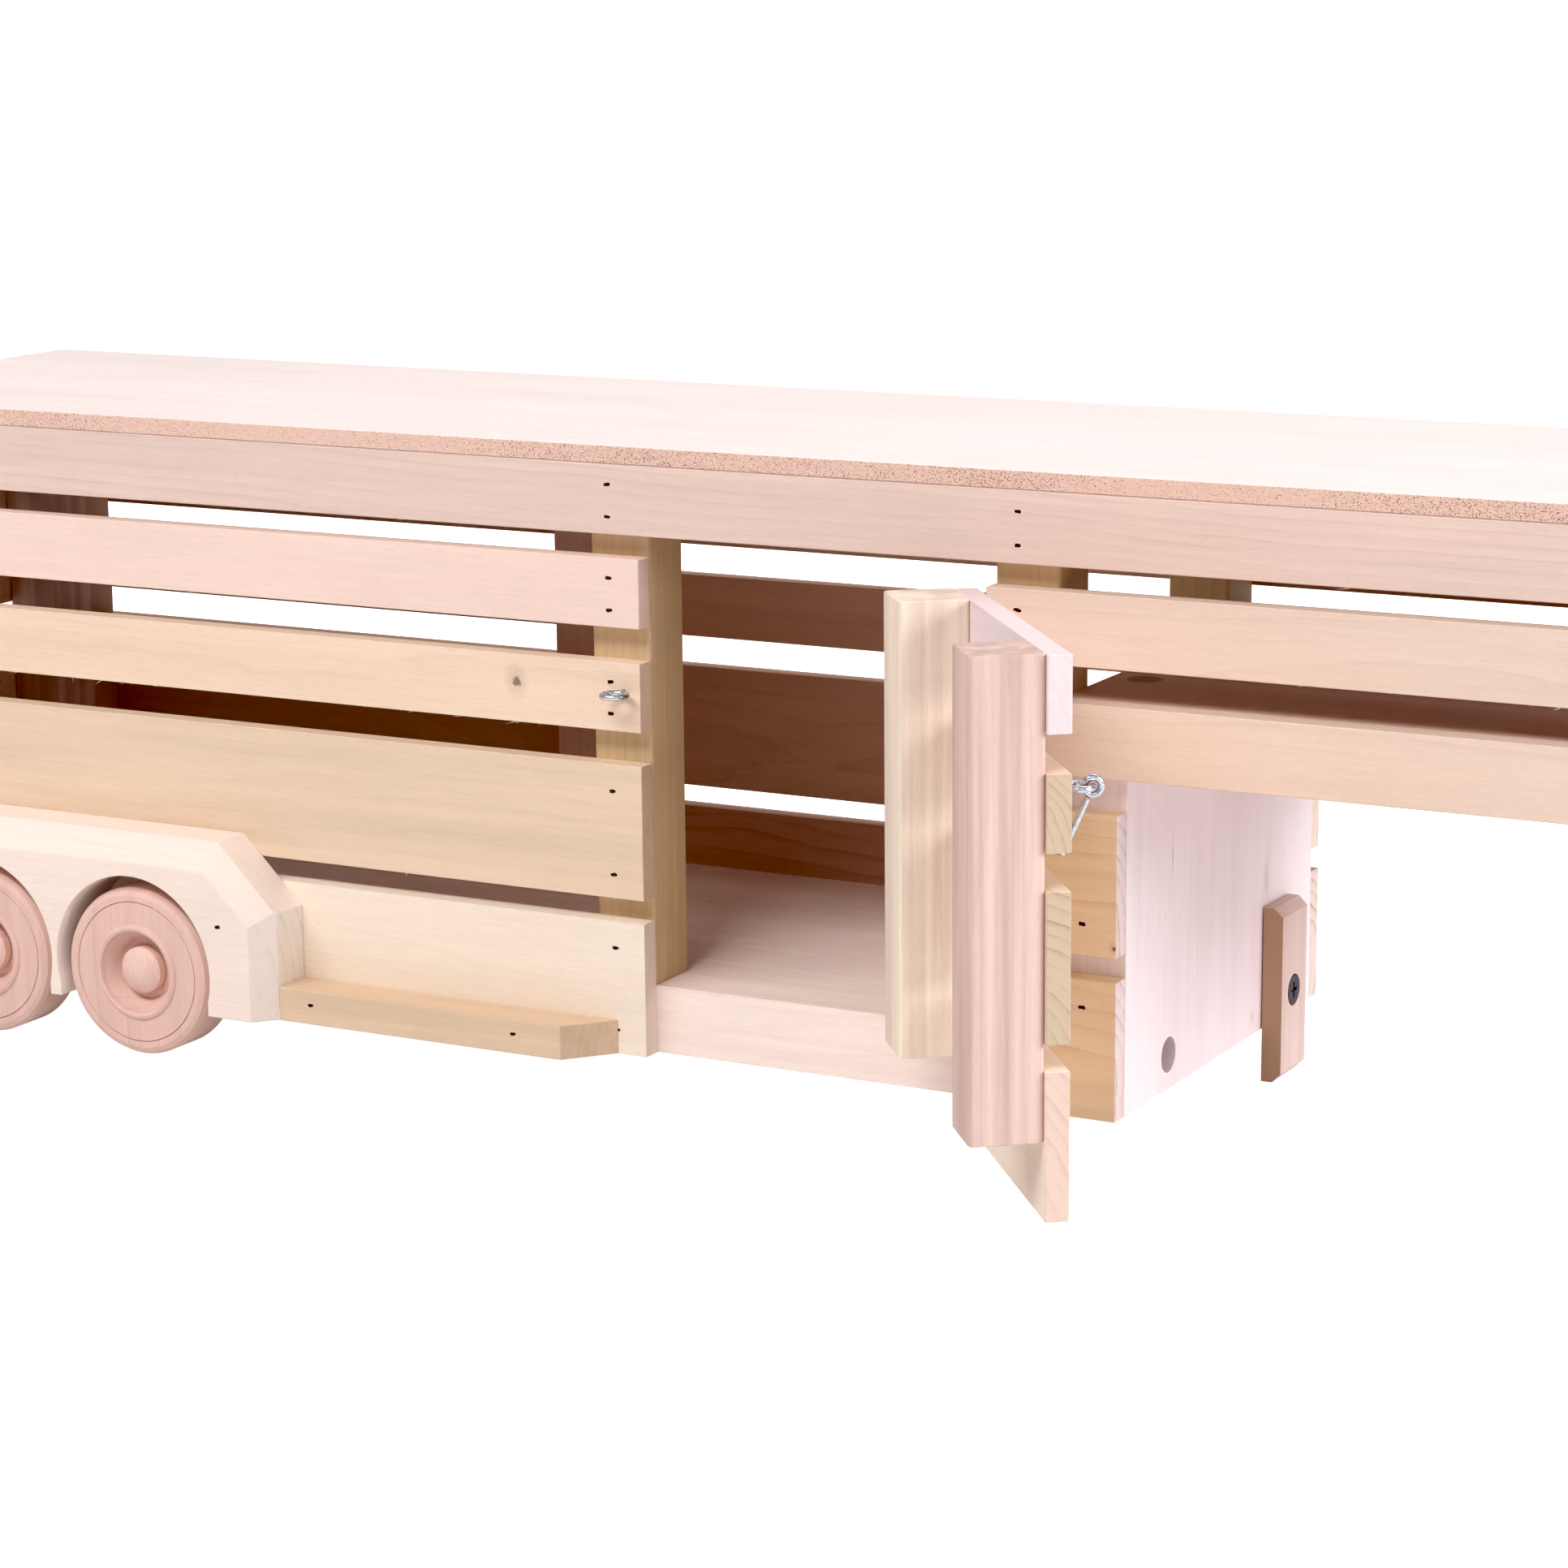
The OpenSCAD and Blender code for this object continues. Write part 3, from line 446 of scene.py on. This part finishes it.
# node: tone, grain, pith, lines, spacing, stain, wave, tilt
BOARDS = {
    "floor_board": ("floor", "x", (0, 12, 46), 0.3, 3.4, 0.5, 1.3, 0),
    "deck_board": ("deck", "x", (0, 6, 50), 0.3, 3.4, 0.4, 1.0, 0),
    "bulkhead_board": ("bulkhead", "z", (0, 60, 10), 0.35, 2.6, 0.3, 0.7, 0),
    "roof_sheet": ("roof", "x", (0, 0, 70), 0.15, 5.0, 0.3, 1.5, 0),
    "rear_header": ("rail", "y", (0, 40, 12), 0.3, 2.6, 0.3, 1.0, 0),
    "near_rail": ("rail", "x", (0, 46, 34), 0.5, 1.9, 0.4, 0.5, 1.0),
    "near_slat_top": ("rose", "x", (0, 60, 6), 0.18, 3.2, 0.3, 1.0, 0),
    "near_slat_middle": ("honey", "x", (0, 52, 12), 0.2, 3.6, 0.35, 1.2, 0),
    "near_slat_wide": ("tan", "x", (0, 40, 20), 0.25, 4.0, 0.4, 1.4, 0),
    "near_board_bottom": ("cream", "x", (0, 80, 10), 0.12, 4.5, 0.3, 1.2, 0),
    "nose_slat_top": ("nose", "x", (0, 44, 16), 0.25, 2.6, 0.3, 0.8, 0),
    "nose_slat_middle": ("nose", "x", (0, 40, 24), 0.3, 3.6, 0.4, 1.0, 0.6),
    "short_slat_wide": ("amber", "x", (0, 26, 20), 0.5, 4.0, 0.4, 0.8, 0),
    "short_board_bottom": ("amber", "x", (0, 30, 14), 0.5, 4.2, 0.4, 0.9, 0),
    "far_rail": ("brown", "x", (0, 46, 26), 0.3, 2.4, 0.4, 0.8, 0),
    "far_slat_top": ("brown", "x", (0, 46, 16), 0.3, 3.0, 0.4, 1.0, 0),
    "far_slat_middle": ("brown", "x", (0, 38, 10), 0.35, 3.4, 0.5, 1.0, 0),
    "far_slat_wide": ("brown", "x", (0, 30, 8), 0.35, 3.8, 0.5, 1.4, 0),
    "far_board_bottom": ("brown_low", "x", (0, 22, 10), 0.6, 4.2, 0.4, 1.4, 0),
    "post_near_rear": ("olive", "z", (0, 30, 10), 0.4, 2.6, 0.6, 0.6, 0),
    "post_door_rear": ("olive", "z", (0, 24, 18), 0.4, 2.4, 0.7, 0.5, 0),
    "post_door_front": ("olive_pale", "z", (0, 20, 26), 0.4, 2.6, 0.6, 0.6, 0),
    "post_far_rear": ("brown", "z", (0, 30, 14), 0.4, 2.6, 0.5, 0.6, 0),
    "post_far_middle": ("brown_post", "z", (0, 24, 20), 0.4, 2.6, 0.5, 0.6, 0),
    "post_far_front": ("olive", "z", (0, 26, 8), 0.4, 2.4, 0.5, 0.6, 0),
    "posts_nose": ("brown", "z", (0, 28, 12), 0.4, 2.6, 0.5, 0.6, 0),
    "nose_rail": ("rail", "y", (0, 50, 22), 0.3, 2.6, 0.4, 0.8, 0),
    "nose_cross_slats": ("nose", "y", (0, 44, 18), 0.3, 3.0, 0.4, 1.0, 0),
    "fender_near": ("fender", "x", (0, 60, 14), 0.2, 4.0, 0.25, 1.0, 0),
    "fender_far": ("fender", "x", (0, 54, 20), 0.2, 4.0, 0.25, 1.0, 0),
    "running_boards": ("step", "x", (0, 16, 12), 0.4, 1.8, 0.5, 0.6, 0),
    "axle_pegs": ("peg", "y", (0, 5, 9), 0.2, 2.2, 0.3, 0.6, 0),
    "wheel_near_front": ("turned", "z", (0, 50, 20), 0.35, 3.4, 0.4, 0.8, 0),
    "wheel_near_rear": ("turned", "z", (0, 40, 34), 0.35, 3.4, 0.4, 0.8, 0),
    "wheel_far_front": ("turned", "x", (0, 50, 14), 0.35, 3.4, 0.4, 0.8, 0),
    "wheel_far_rear": ("turned", "z", (0, 60, 10), 0.35, 3.4, 0.4, 0.8, 0),
    "door_batten_hinge": ("banded", "z", (0, 24, 20), 0.3, 2.4, 0.6, 0.4, 0),
    "door_batten_free": ("streaky", "z", (0, 30, 12), 0.35, 2.6, 0.7, 0.4, 0),
    "door_slat_top": ("pearl", "door", (0, 40, 20), 0.25, 2.8, 0.3, 1.0, 0),
    "door_slat_middle": ("door_tan", "door", (0, 18, 14), 0.45, 2.4, 0.4, 1.0, 0),
    "door_slat_wide": ("door_tan", "door", (0, 22, 30), 0.45, 3.0, 0.4, 1.0, 0),
    "door_board_bottom": ("door_cream", "door", (0, 34, 26), 0.25, 3.2, 0.3, 1.0, 0),
    "gate_battens": ("streaky", "z", (0, 26, 14), 0.4, 2.6, 0.7, 0.5, 0),
    "gate_slats": ("honey", "y", (0, 48, 20), 0.3, 3.2, 0.3, 1.0, 0),
    "stand_bar": ("leg", "z", (0, 30, 10), 0.3, 2.6, 0.4, 0.6, 0),
    "hitch_block": ("honey", "x", (0, 30, 22), 0.3, 3.2, 0.3, 0.8, 0),
    "hitch_peg": ("peg", "z", (0, 14, 9), 0.3, 2.4, 0.3, 0.6, 0),
}
ZINC = metal("zinc_plate", (196, 200, 208), 0.16, (170, 174, 184), 1800)
BLACK = metal("black_oxide", (30, 32, 42), 0.4, (62, 64, 80), 1500)


def dress(name):
    """Gives a CAD node its material."""
    obj = NODES[name]
    obj.data.materials.clear()
    if name in BOARDS:
        tone, grain, *rest = BOARDS[name]
        obj.data.materials.append(wood("wood_" + name, name, tone, grain, *rest))
    else:
        obj.data.materials.append(BLACK if "screw" in name else ZINC)


for name in NODES:
    dress(name)

EASED = 0.35  # how wide a sanded edge is, in mm
ROUND = ("wheel", "axle", "peg")


def ease(name, width, segments=2):
    """Rounds a board's sharp edges a little, as sanding does."""
    obj = NODES[name]
    if "custom_normal" in obj.data.attributes:
        obj.data.attributes.remove(obj.data.attributes["custom_normal"])
    obj.data.polygons.foreach_set("use_smooth", [True] * len(obj.data.polygons))
    weld = obj.modifiers.new("weld", "WELD")
    weld.merge_threshold = 0.002 * MM
    flat = obj.modifiers.new("flat", "DECIMATE")
    flat.decimate_type = "DISSOLVE"
    flat.angle_limit = math.radians(0.3)
    bevel = obj.modifiers.new("ease", "BEVEL")
    bevel.width = width * MM
    bevel.segments = segments
    bevel.limit_method = "ANGLE"
    bevel.angle_limit = math.radians(28)
    bevel.harden_normals = True


for name in BOARDS:
    if not any(word in name for word in ROUND):
        ease(name, EASED)


# ---------------------------------------------------------------- nails and loose fibres
def closed(point):
    """Where a point of the open door is when the door is shut."""
    return DOOR_PIVOT + DOOR_TURN.transposed() @ (point - DOOR_PIVOT)


def opened(point):
    """Where a point of the shut door is when the door is open as stored."""
    return DOOR_PIVOT + DOOR_TURN @ (point - DOOR_PIVOT)


def middle(node):
    """The middle of a node's box."""
    low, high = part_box(node)
    return (low + high) / 2


def nail_heights(low, high):
    """The heights of a board's two nails, which stand nearer its edges on a wide board."""
    tall = high - low
    lift, drop = (0.2, 0.82) if tall > 30 * MM else (0.29, 0.75)
    return high - lift * tall, high - drop * tall


LEFT, RIGHT, OUT, IN = (Vector(v) for v in ((-1, 0, 0), (1, 0, 0), (0, -1, 0), (0, 1, 0)))


def wall_nails(boards, posts, outward, along):
    """Two nails wherever one of a wall's boards crosses one of its posts."""
    deck_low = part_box("deck_board")[0].z
    for board in sorted(n for n in BOARDS if n.startswith(boards)):
        low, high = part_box(board)
        face = low.y if outward is OUT else high.y
        for post in posts:
            foot = deck_low if post == "posts_nose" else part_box(post)[0].z - 30 * MM
            x = middle(post).x
            if low.x < x < high.x and high.z > foot:
                for z in nail_heights(low.z, high.z):
                    yield Vector((x, face, z)), outward, along, "trailer"


def short_board_nails():
    """One nail in each short board, into the bulkhead; its height is a share of the board's."""
    for board, share in (("short_slat_wide", 0.22), ("short_board_bottom", 0.8)):
        low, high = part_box(board)
        spot = Vector((middle("bulkhead_board").x, low.y, low.z + share * (high.z - low.z)))
        yield spot, OUT, RIGHT, "trailer"


def fender_nails():
    """One nail near each end of the near fender."""
    low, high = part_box("fender_near")
    for share in (0.107, 0.893):
        x = low.x + share * (high.x - low.x)
        yield Vector((x, low.y, low.z + 0.535 * (high.z - low.z))), OUT, RIGHT, "trailer"


def running_board_nails():
    """Two nails in each running board."""
    low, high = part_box("running_boards")
    for share in (0.105, 0.75):
        for y, outward in ((low.y, OUT), (high.y, IN)):
            x = low.x + share * (high.x - low.x)
            yield Vector((x, y, (low.z + high.z) / 2 + 0.8 * MM)), outward, RIGHT, "trailer"


def door_nails():
    """The side door's boards are nailed from outside into its battens."""
    for board in ("door_slat_top", "door_slat_middle", "door_slat_wide", "door_board_bottom"):
        low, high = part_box(board)
        face = closed(middle(board)).y - (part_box("near_rail")[1].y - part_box("near_rail")[0].y) / 2
        for batten in ("door_batten_hinge", "door_batten_free"):
            for z in nail_heights(low.z, high.z):
                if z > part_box(batten)[0].z:
                    spot = opened(Vector((closed(middle(batten)).x, face, z)))
                    yield spot, DOOR_TURN @ OUT, DOOR_TURN @ RIGHT, "side_door"


def gate_nails():
    """The rear gate's slats, level with the near wall's boards, are nailed into its battens."""
    low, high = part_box("gate_slats")
    half_post = (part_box("post_near_rear")[1].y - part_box("post_near_rear")[0].y) / 2
    first, last = (corner.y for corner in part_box("gate_battens"))
    for board in ("near_board_bottom", "near_slat_wide", "near_slat_middle", "near_slat_top"):
        for z in nail_heights(max(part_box(board)[0].z, low.z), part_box(board)[1].z):
            for y in (first + half_post, last - half_post):
                yield Vector((low.x, y, z)), LEFT, IN, "rear_gate"


NEAR_POSTS = ("post_near_rear", "post_door_rear", "post_door_front", "posts_nose")
FAR_POSTS = ("post_far_rear", "post_far_middle", "post_far_front", "posts_nose")
# each nail's spot, the way its face looks, the way the grain runs, and its body
NAILS = [
    *wall_nails(("near_", "nose_slat"), NEAR_POSTS, OUT, RIGHT),
    *wall_nails(("far_",), FAR_POSTS, IN, LEFT),
    *short_board_nails(),
    *fender_nails(),
    *running_board_nails(),
    *door_nails(),
    *gate_nails(),
]
NAIL_HALF = (1.2, 0.6)  # half the length and half the height of a nail's slot, in mm
NAIL_CORNER = 0.7  # below 1 the slot is squarer than an oval
# the rings of a head and of the lip round it: scale of the slot, and mm out of the face
HEAD_RINGS = ((0.8, -0.5), (1.0, 0.015), (0.7, 0.006))
LIP_RINGS = ((0.85, -0.3), (0.95, 0.03), (1.12, 0.06), (1.3, -0.05), (1.25, -0.3), (0.85, -0.3))


def tube(mesh, rings):
    """Skin over rings of points, in order, left open at both ends; returns the rings' corners."""
    rows = [[mesh.verts.new(point) for point in ring] for ring in rings]
    count = len(rows[0])
    for outer, inner in zip(rows, rows[1:]):
        for i in range(count):
            j = (i + 1) % count
            mesh.faces.new((outer[i], outer[j], inner[j], inner[i]))
    return rows


def slot_ring(spot, outward, along, wobble, scale, height):
    """A ragged slot round spot, in the plane that faces outward; scale 1 is a nail's own."""
    across = outward.cross(along)
    ring = []
    for i, bulge in enumerate(wobble):
        a = 2 * math.pi * i / len(wobble)
        long, short = (math.copysign(abs(v) ** NAIL_CORNER, v) for v in (math.cos(a), math.sin(a)))
        offset = along * (long * NAIL_HALF[0]) + across * (short * NAIL_HALF[1])
        ring.append(spot + (offset * scale * bulge + outward * height) * MM)
    return ring


def nail(heads, lips, spot, outward, along, rng):
    """A driven nail: its sunk head, dark with steel and painted shade, and the lip of crushed fibre round
    it.
    """
    lean = Matrix.Rotation(math.radians(rng.uniform(-9, 9)), 3, outward)
    along = lean @ along
    wobble = [rng.uniform(0.78, 1.1) for _ in range(16)]
    rows = tube(heads, [slot_ring(spot, outward, along, wobble, *ring) for ring in HEAD_RINGS])
    heads.faces.new(rows[0])
    heads.faces.new(rows[-1])
    shift = spot - along * rng.uniform(0.05, 0.25) * MM
    tube(lips, [slot_ring(shift, outward, along, wobble, *ring) for ring in LIP_RINGS])


def piece(name, mesh, material, body):
    """A finished mesh as an object that rides on a body."""
    bmesh.ops.remove_doubles(mesh, verts=mesh.verts, dist=0.0005 * MM)
    bmesh.ops.recalc_face_normals(mesh, faces=mesh.faces)
    data = bpy.data.meshes.new(name)
    mesh.to_mesh(data)
    mesh.free()
    data.materials.append(material)
    obj = bpy.data.objects.new(name, data)
    SCENE.collection.objects.link(obj)
    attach(obj, body)
    return obj


# the heads: dark steel, made nearly black as painted shade of the sunk slot
NAIL_STEEL_AND_SHADE = metal("nail_steel_and_slot_shade", (34, 27, 27), 0.55, (66, 54, 50), 2500)
LIP = wood("wood_nail_lips", "near_slat_top", "rose", "x", lines=0.2)
for body in ("trailer", "side_door", "rear_gate"):
    heads, lips = bmesh.new(), bmesh.new()
    rng = random.Random("nails " + body)
    for spot, outward, along, rides in NAILS:
        if rides == body:
            nail(heads, lips, spot, outward, along, rng)
    piece("nail_heads_" + body, heads, NAIL_STEEL_AND_SHADE, body)
    piece("nail_lips_" + body, lips, LIP, body)


FIBRE_HALF = 0.1  # half a loose fibre's thickness at its root, in mm
FIBRE_SIDES = (0, 2.1, 4.2)
# how many loose fibres hang from the lower edge of a board
FIBRES = {
    "near_slat_middle": 26,
    "near_slat_top": 4,
    "near_slat_wide": 5,
    "near_rail": 5,
    "nose_slat_top": 4,
    "nose_slat_middle": 4,
    "far_slat_middle": 6,
    "far_slat_wide": 5,
}


def hair(mesh, spot, lean, length, rng):
    """A loose fibre: a thin tapering thread that curls as it goes; its length is in mm."""
    curl = Vector((rng.uniform(-0.5, 0.5), rng.uniform(-0.3, 0.1), rng.uniform(-0.2, 0.5)))
    rings = []
    for i in range(6):
        t = i / 5
        centre = spot + (lean * t + curl * t * t) * length * MM
        size = FIBRE_HALF * (1 - 0.75 * t) * MM
        ring = ((math.cos(a) * size, math.sin(a) * size) for a in FIBRE_SIDES)
        rings.append([centre + Vector((x, y, -x)) for x, y in ring])
    rows = tube(mesh, rings)
    mesh.faces.new(rows[0])
    mesh.faces.new(rows[-1])


fibres = bmesh.new()
rng = random.Random("fibres")
for board, count in FIBRES.items():
    low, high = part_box(board)
    for _ in range(count):
        y = low.y + 0.1 * MM if not board.startswith("far") else high.y - 0.1 * MM
        spot = Vector((rng.uniform(low.x + 0.02, high.x - 0.02), y, low.z + 0.15 * MM))
        side = rng.choice((-1, 1)) * rng.uniform(0.5, 1)
        lean = Vector((side, rng.uniform(-0.1, 0.1), -rng.uniform(0.15, 0.5)))
        hair(fibres, spot, lean, rng.uniform(1.0, 3.2), rng)
piece("loose_fibres", fibres, LIP, "trailer")

# ---------------------------------------------------------------- floor and light
FAINT = 0.04  # what the white room gives back to bare wood, next to the lamps
GLOSS = 0.5  # how bright the white room is in a reflection
FLOOR_HALF = 6  # half the floor's side, in metres
FLOOR_DROP = 0.0002  # how far the floor lies below the lowest point, in metres
stage_floor = bpy.data.meshes.new("studio_floor")
sheet = bmesh.new()
bmesh.ops.create_grid(sheet, x_segments=1, y_segments=1, size=FLOOR_HALF)
sheet.to_mesh(stage_floor)
sheet.free()
floor = bpy.data.objects.new("studio_floor", stage_floor)
SCENE.collection.objects.link(floor)
floor.location.z = -FLOOR_DROP
pale = bpy.data.materials.new("studio_floor")
pale.use_nodes = True
tree = pale.node_tree
tree.nodes.clear()
# a light table: it glows white, more so away from the trailer, and lights the object only faintly
spot = tree.nodes.new("ShaderNodeTexCoord").outputs["Object"]
away = ramp(tree, vec(tree, "LENGTH", spot), 0.5, 1.6, 0.93, 1.02)
path = tree.nodes.new("ShaderNodeLightPath")
glossy = calc(tree, "MULTIPLY", path.outputs["Is Glossy Ray"], GLOSS)
shown = calc(tree, "MAXIMUM", path.outputs["Is Camera Ray"], calc(tree, "MAXIMUM", glossy, FAINT))
glow = calc(tree, "MULTIPLY", away, shown)
shader = put(
    tree,
    "ShaderNodeBsdfPrincipled",
    {
        "Base Color": (0.8, 0.8, 0.81, 1),
        "Roughness": 0.8,
        "Specular IOR Level": 0.1,
        "Emission Color": (1, 1, 1, 1),
        "Emission Strength": glow,
    },
)
put(tree, "ShaderNodeOutputMaterial", {"Surface": shader.outputs[0]})
stage_floor.materials.append(pale)


AIM = Vector((0.05, 0, 0.08))  # the point that every lamp faces


def softbox(name, place, size, power):
    """A large soft white lamp that faces the trailer; its place and size are in metres."""
    lamp = bpy.data.lights.new(name, "AREA")
    lamp.shape = "RECTANGLE"
    lamp.size, lamp.size_y = size
    lamp.energy = power
    obj = bpy.data.objects.new(name, lamp)
    SCENE.collection.objects.link(obj)
    obj.location = place
    obj.rotation_mode = "QUATERNION"
    obj.rotation_quaternion = (AIM - Vector(place)).to_track_quat("-Z", "Y")
    return obj


softbox("key", (0.0, -1.45, 1.68), (1.0, 0.7), 27)
softbox("left", (-0.9, -1.1, 1.5), (0.8, 0.7), 12)
softbox("right", (1.3, -1.2, 1.1), (0.8, 0.7), 2.5)
softbox("side", (1.9, 0.1, 0.75), (1.0, 0.9), 35)
softbox("back", (0.2, 1.0, 1.6), (1.6, 1.1), 12)
# low behind, for the far side and the rear end only: no glare on the roof
far = softbox("far", (-1.0, 1.5, 0.3), (1.2, 0.4), 7)
far.visible_camera = False
far.visible_glossy = False

world = bpy.data.worlds.new("studio")
SCENE.world = world
world.use_nodes = True
tree = world.node_tree
tree.nodes.clear()
seen = put(tree, "ShaderNodeBackground", {"Color": (1, 1, 1, 1), "Strength": 1.0})
path = tree.nodes.new("ShaderNodeLightPath")
glossy = calc(tree, "MULTIPLY", path.outputs["Is Glossy Ray"], GLOSS)
strength = calc(tree, "MAXIMUM", glossy, FAINT)
lit = put(tree, "ShaderNodeBackground", {"Color": (1, 1, 1, 1), "Strength": strength})
both = put(
    tree,
    "ShaderNodeMixShader",
    {0: path.outputs["Is Camera Ray"], 1: lit.outputs[0], 2: seen.outputs[0]},
)
put(tree, "ShaderNodeOutputWorld", {"Surface": both.outputs[0]})

# ---------------------------------------------------------------- print of the picture
# A product photo's deep, warm shadows: less of the darkest green and blue
SCENE.view_settings.view_transform = "Standard"
SCENE.view_settings.use_curve_mapping = True
SCENE.view_settings.curve_mapping.black_level = (0.007, 0.02, 0.022)
SCENE.view_settings.curve_mapping.update()
